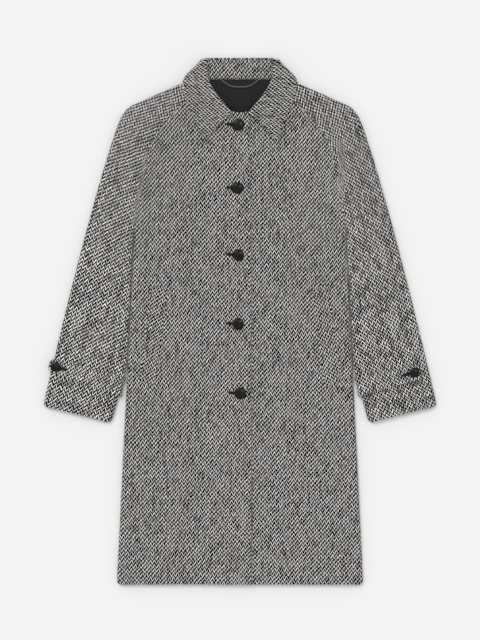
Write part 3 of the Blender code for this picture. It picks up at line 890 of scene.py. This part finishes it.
# the weave turns little by little down the sleeve, summed along its middle
def sleeveGrain(side, shift):
    top, foot, width, taken = sleeve["foldBands"][side]
    top, foot = Vector(top), Vector(foot)
    down = (foot - top).normalized()
    sideways = Vector((-down.y, down.x))
    length = (foot - top).length
    step = sleeve["layStep"]
    sums = [Vector((0, 0))]
    for k in range(sleeve["layCount"]):
        y = sleeve["layTop"] - (k + 0.5) * step
        above, below = (station(sleeve["centre"], y + half)[0] for half in (step / 2, -step / 2))
        slope = (above - below) / step
        (uX, uY), (vX, vY) = weaveLay(side, y)
        sums.append(sums[-1] - Vector((uX * slope + uY, vX * slope + vY)) * step)

    def grain(flat):
        place = Vector((side * flat.x, flat.y))
        t = (place - top).dot(down) / length
        across = (place - top).dot(sideways)
        held = fadeEnds(*sleeve["foldRun"], t)
        place += sideways * (taken * held * (ease(-width, width, across) - 1))
        rows = (sleeve["layTop"] - place.y) / step
        k = int(rows)
        middle = sums[k].lerp(sums[k + 1], rows - k)
        (uX, _), (vX, _) = weaveLay(side, place.y)
        off = place.x - station(sleeve["centre"], place.y)[0]
        return side * (middle.x + off * uX) + shift[0], middle.y + off * vX + shift[1]

    return grain


sleeves = {}
for hand, side in hands:
    sleeves["front", hand] = makeSleeve("front", hand, side, frontLevel, topSeam)
    sleeves["back", hand] = makeSleeve("back", hand, side, backLevel, lowSeam)
print("sleeves made")

# collar: the fall turns over at the neck, the stand shows inside it
collar = {
    "wall": 0.004,
    "standWall": 0.003,
    "lieGap": 0.001,
    "rounding": 0.0016,
    "standRounding": 0.001,
    "corner": (0.080, 0.5534),
    "side": (0.1205, 0.501),
    "bow": 0.0045,  # of the outline between the two
    "bowShape": 9.5,  # brings the bow's curve to its full height
    "backRollY": 0.5514,
    "cornerDrop": 0.0026,
    "edgeLift": 0.0046,  # the leaves' front edges stand off the fronts
    "liftReach": 0.03,
    "liftRows": 0.9,
    "rimLift": 0.0014,  # and so do their outer rims
    "rimShare": 0.7,
    "lipRadius": 0.005,
    "lipDrop": 0.0045,
    "rollRise": 0.0025,
    "rollReach": 0.042,
    "lipSteps": 7,
    "columns": 18,
    "bendSteps": 13,
    "standBends": 9,
    "fallFine": 6,
    "standFine": 4,
    "standBackFine": 8,
    "fallRows": [
        # roll x, y, outer edge x, y
        (0.0175, 0.436, 0.079, 0.3795),
        (0.0385, 0.460, 0.0905, 0.413),
        (0.0565, 0.484, 0.1085, 0.452),
        (0.0685, 0.508, 0.1185, 0.484),
    ],
    "fallBack": [(0.050, 0.5514, 0.075, 0.481), (0.0, 0.5514, 0.0, 0.478)],
    "standRows": [
        # neck x, y, roll x, y
        (0.024, 0.4416, 0.030, 0.447),
        (0.050, 0.4482, 0.048, 0.470),
        (0.074, 0.4582, 0.0645, 0.492),
        (0.086, 0.476, 0.073, 0.508),
    ],
    "standFold": ((0.078, 0.5095), (0.067, 0.5445)),
    "standBack": [(0.066, 0.510, 0.055, 0.5485), (0.0, 0.510, 0.0, 0.549)],
    "standColumns": 10,
    "standShift": (0.0005, 0.0015),
    "leafTurn": {-1: (90.0, 90.0), 1: (96.5, 90.0)},  # of the columns and of the rows, in degrees
    "leafCloser": (1.055, 1.085),
}
fallLow = collar["wall"] / 2
standLow = collar["wall"] + layers["lieGap"] + collar["standWall"] / 2


def leafLevel(x, y):
    over = layers["raise"] * ease(*layers["raiseX"], x) * (1 - ease(*layers["raiseEnd"], x))
    return frontLevel(x, y) + over + layers["cloth"] / 2 + collar["lieGap"] + collar["wall"] / 2


def twoPlaces(side, x0, y0, x1, y1, z=0):
    return Vector((side * x0, y0, z)), Vector((side * x1, y1, z))


# each value of a row with those of the rows before and after it
def around(rows, k):
    return zip(*(rows[min(max(k + i, 0), len(rows) - 1)] for i in (-1, 0, 1, 2)))


# a smooth curve through the columns of a few rows
def refine(rows, steps):
    fine = []
    for k in range(len(rows) - 1):
        for j in range(steps):
            row = []
            for points in around(rows, k):
                row.append([catmull(j / steps, *four) for four in zip(*points)])
            fine.append(row)
    return fine + [rows[-1]]


def catmull(t, a, b, c, d):
    return (b * 2 + (c - a) * t + (a * 2 - b * 5 + c * 4 - d) * t**2 + (b * 3 - a - c * 3 + d) * t**3) / 2


def lipRow(roll, outer, normal, rise, away=Vector((0, 0)), height=None, bow=Vector(), lift=0.0):
    along = (outer - roll).normalized()
    length = (outer - roll).length
    r = collar["lipRadius"]
    flatLength = length - r
    marks = []
    for k in range(collar["lipSteps"]):
        angle = math.pi / 2 * k / (collar["lipSteps"] - 1)
        marks.append((r * (1 - math.cos(angle)), angle))
    for k in range(collar["columns"]):
        marks.append((r + flatLength * (k + 1) / collar["columns"], math.pi / 2))
    row = []
    for distance, angle in marks:
        t = distance / length
        p = roll + along * distance + bow * (collar["bowShape"] * t**3 * (1 - t))
        if height:
            rim = collar["rimLift"] * ease(flatLength * collar["rimShare"], flatLength, distance)
            p.z = height(p.x, p.y) + max(lift * ease(0, collar["liftReach"], distance), rim)
        raised = rise * (1 - ease(0, collar["rollReach"], distance))
        drop = collar["lipDrop"] * (1 - math.sin(angle))
        taken = r * (angle - math.pi / 2 + math.cos(angle))  # cloth in the roll
        row.append([p + normal * (raised - drop), (p + along * taken).xy + away])
    return row


def mirrorRows(rows, side):
    return [[[Vector((side * p.x, p.y, p.z)), Vector((side * f.x, f.y))] for p, f in row] for row in rows]


def fallHalf(side):
    table, steps = collar["fallRows"], collar["fallFine"]
    rows = []
    for k in range(len(table) - 1):
        for j in range(steps if k < len(table) - 2 else steps + 1):
            ends = twoPlaces(side, *(catmull(j / steps, *four) for four in around(table, k)))
            lift = collar["edgeLift"] * (1 - ease(0, collar["liftRows"], k + j / steps))
            rows.append(lipRow(*ends, up, collar["rollRise"], height=leafLevel, lift=lift))
    corner, edge = Vector((*collar["corner"], 0)), Vector((*collar["side"], 0))
    outward = Vector((corner.y - edge.y, edge.x - corner.x, 0)).normalized()
    radius = (leafLevel(side * edge.x, edge.y) - fallLow) / 2
    bend = []
    for k in range(collar["bendSteps"]):
        angle = math.pi * k / (collar["bendSteps"] - 1)
        shift = outward * (radius * math.sin(angle) - radius - collar["wall"] / 2)
        shift.z = fallLow + radius + radius * math.cos(angle)
        normal = outward * math.sin(angle) + up * math.cos(angle)
        rise = collar["rollRise"] * max(0.0, math.cos(angle))
        unrolled = (outward * (radius * (angle - math.sin(angle)))).xy
        roll = corner + shift
        # the back's top edge is straight
        roll.y = collar["backRollY"] - collar["cornerDrop"] * (1 + math.cos(angle)) / 2
        bow = outward * collar["bow"]
        bend.append(lipRow(roll, edge + shift, normal, rise, unrolled, bow=bow))
    bend = mirrorRows(bend, side)
    rows = rows[:-1] + refine([rows[-1], bend[0]], steps)[:-1] + bend
    far = (outward * (radius * math.pi * 2)).xy
    beside = lipRow(*twoPlaces(1, *collar["fallBack"][0], fallLow), -up, 0.0, far)
    return rows, mirrorRows([beside], side)[0]


def joinHalves(makeHalf, middle, steps):
    right, rightBack = makeHalf(-1)
    left, leftBack = makeHalf(1)
    behind = refine([right[-1], rightBack, middle, leftBack, left[-1]], steps)
    return right[:-1] + behind + left[-2::-1]


def makeFall():
    middle = lipRow(*twoPlaces(1, *collar["fallBack"][-1], fallLow), -up, 0.0)
    rows = joinHalves(fallHalf, middle, collar["fallFine"])

    def grain(flat):
        side = 1 if flat.x > 0 else -1
        columnTurn, rowTurn = map(math.radians, collar["leafTurn"][side])
        u = flat.x * math.cos(columnTurn) + flat.y * math.sin(columnTurn)
        v = flat.y * math.cos(rowTurn) - flat.x * math.sin(rowTurn)
        return u * collar["leafCloser"][0], v * collar["leafCloser"][1]

    wall, rounding = collar["wall"], collar["rounding"]
    return clothPiece("collar_fall_cloth", rows, grain, wall, rounding, finishes["tweed"])


def standFrontLevel(x, y):
    raised = upperFrontLevel(x, y) - frontLevel(x, y)
    rise = layers["cloth"] - collar["standWall"]
    return frontLevel(x, y) + raised * (1 - ease(*layers["raiseEnd"], x)) + rise / 2


def standRow(neck, roll, level=None):
    row = []
    for k in range(collar["standColumns"] + 1):
        p = neck.lerp(roll, k / collar["standColumns"])
        if level:
            p.z = level(p.x, p.y)
        row.append([p, p.xy])
    return row


def standHalf(side):
    rows = [standRow(*twoPlaces(side, *line), standFrontLevel) for line in collar["standRows"]]
    neck, roll = (Vector((*place, 0)) for place in collar["standFold"])
    outward = Vector((roll.y - neck.y, neck.x - roll.x, 0)).normalized()
    radius = (standFrontLevel(side * neck.x, neck.y) - standLow) / 2
    bend = []
    for k in range(collar["standBends"]):
        angle = math.pi * k / (collar["standBends"] - 1)
        wall = outward * math.sin(angle) + up * math.cos(angle)
        shift = wall * radius + up * (standLow + radius)
        bend.append(standRow(neck + shift, roll + shift))
    front = refine(rows + mirrorRows(bend[:1], side), collar["standFine"])
    beside = standRow(*twoPlaces(side, *collar["standBack"][0], standLow))
    return front[:-1] + mirrorRows(bend, side), beside


def makeStand():
    middle = standRow(*twoPlaces(1, *collar["standBack"][-1], standLow))
    rows = joinHalves(standHalf, middle, collar["standBackFine"])
    grain = turned(0.0, collar["standShift"])
    wall, rounding = collar["standWall"], collar["standRounding"]
    return clothPiece("collar_stand_cloth", rows, grain, wall, rounding, finishes["tweed"])


fall = makeFall()
stand = makeStand()
print("collar made")

# tabs round the cuffs
tab = {
    "wall": 0.0036,
    "rounding": 0.0014,
    "innerY": (-0.157, -0.117),
    "outerY": {"left": (-0.1153, -0.0863), "right": (-0.1085, -0.0795)},
    "rows": 14,
    "columns": 26,
    "tipRound": 0.009,
    "tipBack": {"left": 0.016, "right": -0.0065},  # from the tip to the sleeve's outer edge
    "buttonBack": {"left": 0.031, "right": 0.0078},
    "grainTurn": math.radians(15.5),
    "weaveShift": {-1: (0.0021, -0.0013), 1: (0.0021, 0.0013)},
    "lowerLift": 0.0028,  # the lower edge stands off the sleeve
    "liftShare": 0.4,
    "innerFold": 0.009,
    "cut": {"right": ((0.170, 0.042), 0.0059), "left": ((0.148, 0.042), 0.0051)},  # flat size and area
}


def tabLine(hand, share):
    inner, outer = (low + (high - low) * share for low, high in (tab["innerY"], tab["outerY"][hand]))
    return (sleeveInner(inner), inner), (sleeveOuter(outer), outer)


def makeTab(hand, side):
    out = lying + tab["wall"] / 2
    r = tab["tipRound"]
    width = tab["outerY"][hand][1] - tab["outerY"][hand][0]
    rows = []
    for k in range(tab["rows"] + 1):
        share = k / tab["rows"]
        start, end = tabLine(hand, share)
        near = max(0.0, r - min(share, 1 - share) * width)
        along = (Vector(end) - Vector(start)).normalized()
        tip = Vector(end) - along * (tab["tipBack"][hand] + r - math.sqrt(r * r - near * near))
        ends = (side * start[0], start[1]), (side * tip.x, tip.y)
        turns = (1.0, tab["innerFold"]), (0.0, folds["edge"])
        lift = tab["lowerLift"] * (1 - ease(0, tab["liftShare"], share))
        rows.append(foldedRow(*ends, frontLevel, topSeam, *turns, tab["columns"], out + lift))
    grain = turned(side * tab["grainTurn"], tab["weaveShift"][side])
    name, finish = f"sleeve_tab_{hand}_cloth", finishes[hand + "Sleeve"]
    return clothPiece(name, rows, grain, tab["wall"], tab["rounding"], finish)


def tabButtonPlace(side, hand):
    start, end = tabLine(hand, 0.5)
    along = (Vector(end) - Vector(start)).normalized()
    place = Vector(end) - along * tab["buttonBack"][hand]
    height = onTab(side * place.x, place.y) + layers["lieGap"]
    return Vector((side * place.x, place.y, height)), Vector((side * along.x, along.y, 0))


def onTab(x, y):
    return frontLevel(x, y) + lying + tab["wall"]


tabs = {hand: makeTab(hand, side) for hand, side in hands}
print("tabs made")

# slanting pocket welts
welt = {
    "foot": (0.1785, -0.1405, 0.2108, -0.1265),  # inner and outer corner
    "head": (0.1514, 0.0674, 0.1855, 0.0699),
    "grainTurn": math.radians(12.5),
    "weaveShift": (0.0, 0.002),
    "wall": 0.0014,
    "rounding": 0.0006,
    "rows": 42,
    "columns": 8,
}


def makeWelt(hand, side):
    rows = []
    for k in range(welt["rows"] + 1):
        t = k / welt["rows"]
        corners = (a + (b - a) * t for a, b in zip(welt["foot"], welt["head"]))
        inner, outer = twoPlaces(side, *corners)
        row = []
        for i in range(welt["columns"] + 1):
            p = inner.lerp(outer, i / welt["columns"])
            p.z = frontLevel(p.x, p.y) + lying + welt["wall"] / 2
            row.append((p, p.xy))
        rows.append(row)
    grain = turned(side * welt["grainTurn"], welt["weaveShift"])
    name = f"pocket_welt_{hand}_cloth"
    return clothPiece(name, rows, grain, welt["wall"], welt["rounding"], finishes["tweed"])


welts = {hand: makeWelt(hand, side) for hand, side in hands}
print("welts made")

# inside of the neck
nape = {
    "lining": {"wall": 0.001, "x": (-0.068, 0.068), "y": (0.330, 0.508), "pitch": 0.004},
    "label": {"wall": 0.0005, "x": (-0.024, 0.024), "y": (0.450, 0.486), "pitch": 0.003},
    "rounding": 0.0003,
    "ripple": 0.00025,
    "rippleWaves": (95, 61, 1.3),  # across, along, sway
    "rippleEndY": (0.44, 0.475),
}


def liningLevel(x, y):
    across, along, sway = nape["rippleWaves"]
    ripple = nape["ripple"] * (1 + math.sin(x * across + sway * math.sin(y * along)))
    ripple *= 1 - ease(*nape["rippleEndY"], y)
    return layers["backZ"] + neckLift(0, y) + lying + nape["lining"]["wall"] / 2 + ripple


def labelLevel(x, y):
    walls = nape["lining"]["wall"] + nape["label"]["wall"]
    return liningLevel(0, y) + 2 * layers["lieGap"] + walls / 2


def laySatin(name, kind, level):
    cut = nape[kind]
    rows = []
    for y in evenly(*cut["y"], cut["pitch"]):
        across = evenly(*cut["x"], cut["pitch"])
        rows.append([(Vector((x, y, level(x, y))), Vector((x, y))) for x in across])
    return clothPiece(name, rows, turned(0.0), cut["wall"], nape["rounding"], finishes[kind], "lining")


lining = laySatin("back_lining_satin", "lining", liningLevel)
label = laySatin("neck_label_satin", "label", labelLevel)
print("neck made")

# domed buttons
button = {
    "thick": 0.0046,
    "steps": 56,
    "profile": [
        # share of the radius, share of the thickness, from the crown round to the back
        (0.0, 1.0), (0.10, 0.9967), (0.20, 0.987), (0.30, 0.970), (0.40, 0.947), (0.50, 0.917),
        (0.60, 0.880), (0.70, 0.836), (0.79, 0.787), (0.87, 0.730), (0.935, 0.650), (0.98, 0.545),
        (1.0, 0.40), (0.985, 0.26), (0.94, 0.14), (0.86, 0.05), (0.72, 0.0), (0.0, 0.0),
    ],
    "places": [
        (-0.0034, 0.4115), (-0.0042, 0.279), (-0.0038, 0.1386),
        (-0.0042, -0.0063), (0.0004, -0.152),
    ],
    "radius": 0.0125,
    "tabRadius": 0.0105,
}


def makeButton(name, place, radius):
    bm = bmesh.new()
    line = [bm.verts.new((r * radius, 0, z * button["thick"])) for r, z in button["profile"]]
    edges = [bm.edges.new(pair) for pair in zip(line, line[1:])]
    turn = {"angle": 2 * math.pi, "steps": button["steps"], "use_merge": True}
    bmesh.ops.spin(bm, geom=line + edges, axis=(0, 0, 1), cent=(0, 0, 0), **turn)
    bmesh.ops.remove_doubles(bm, verts=bm.verts, dist=1e-6)
    bmesh.ops.recalc_face_normals(bm, faces=bm.faces)
    bmesh.ops.translate(bm, verts=bm.verts, vec=place)
    addPiece(name + "_horn", bm, finishes["horn"], "button", name)


# worked buttonholes, whose tails show beside the buttons
hole = {
    "length": 0.031,
    "gap": 0.0017,
    "silk": 0.0015,
    "height": 0.0010,
    "sides": 10,
    "runs": 34,
    "turns": 8,
    "slitShare": 0.95,
    "slitLift": 0.0001,
    "slitSteps": 16,
    "back": 0.0085,  # from the button to the middle of its hole
    "above": 0.0008,
    "slope": -0.05,
}


def makeButtonhole(name, middle, along, level):
    across = Vector((-along.y, along.x, 0))
    half = hole["length"] / 2 - hole["gap"]
    ring = [Vector((half * t, -hole["gap"])) for t in evenly(-1, 1, 2 / hole["runs"])]
    for a in evenly(-math.pi / 2, math.pi / 2, math.pi / hole["turns"])[1:-1]:
        ring.append(Vector((half + hole["gap"] * math.cos(a), hole["gap"] * math.sin(a))))
    ring += [-p for p in ring]
    path = []
    for p in ring + ring[:1]:
        spot = middle + along * p.x + across * p.y
        path.append(Vector((spot.x, spot.y, level(spot.x, spot.y))))
    bm = layTube(path, hole["silk"], hole["height"], hole["sides"], closed=True)
    slit = bmesh.ops.create_grid(bm, x_segments=hole["slitSteps"], y_segments=1, size=0.5)
    length, width = hole["length"] * hole["slitShare"], 2 * hole["gap"]
    for v in slit["verts"]:
        spot = middle + along * (v.co.x * length) + across * (v.co.y * width)
        v.co = (spot.x, spot.y, level(spot.x, spot.y) + hole["slitLift"])
    return addPiece(name, bm, finishes["silk"], "lining")


def onFront(x, y):
    return upperFrontLevel(x, y) + layers["cloth"] / 2


frontHoles = []
tabHoles = {}
for k, (x, y) in enumerate(button["places"]):
    z = onFront(x, y + button["radius"]) + layers["lieGap"]
    makeButton(f"front_button_{k + 1}", Vector((x, y, z)), button["radius"])
    middle = Vector((x - hole["back"], y + hole["above"], 0))
    lie = Vector((1, hole["slope"], 0)).normalized()
    frontHoles.append(makeButtonhole(f"front_buttonhole_{k + 1}", middle, lie, onFront))
for hand, side in hands:
    place, along = tabButtonPlace(side, hand)
    makeButton(f"tab_button_{hand}", place, button["tabRadius"])
    middle = place - along * hole["back"]
    tabHoles[hand] = makeButtonhole(f"tab_buttonhole_{hand}", middle, along.normalized(), onTab)
print("buttons made")

# what each piece was cut to: width and length, area, what it lies on, what goes with it
cuts = [
    (back, (0.540, 1.062), 0.468, [floor], [lining]),
    (frontRight, (0.292, 1.030), 0.254, [back], frontHoles),
    (frontLeft, (0.288, 1.030), 0.2535, [back], []),
    (fall, (0.420, 0.100), 0.0343, [frontRight, frontLeft, back], []),
    (stand, (0.300, 0.060), 0.0102, [back], []),
    (lining, (0.136, 0.178), 0.0242, [back], [label]),
    (label, (0.048, 0.036), 0.0017, [lining], []),
]
for hand, front in (("right", frontRight), ("left", frontLeft)):
    upperHalf, lowerHalf = sleeves["front", hand], sleeves["back", hand]
    cuts += [
        (upperHalf, (0.250, 0.730), 0.081, [lowerHalf], []),
        (lowerHalf, (0.250, 0.730), 0.081, [floor], []),
        (tabs[hand], *tab["cut"][hand], [upperHalf], [tabHoles[hand]]),
        (welts[hand], (0.036, 0.212), 0.0068, [front], []),
    ]
for piece, flat, area, under, withPieces in cuts:
    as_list(under)
    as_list(withPieces)
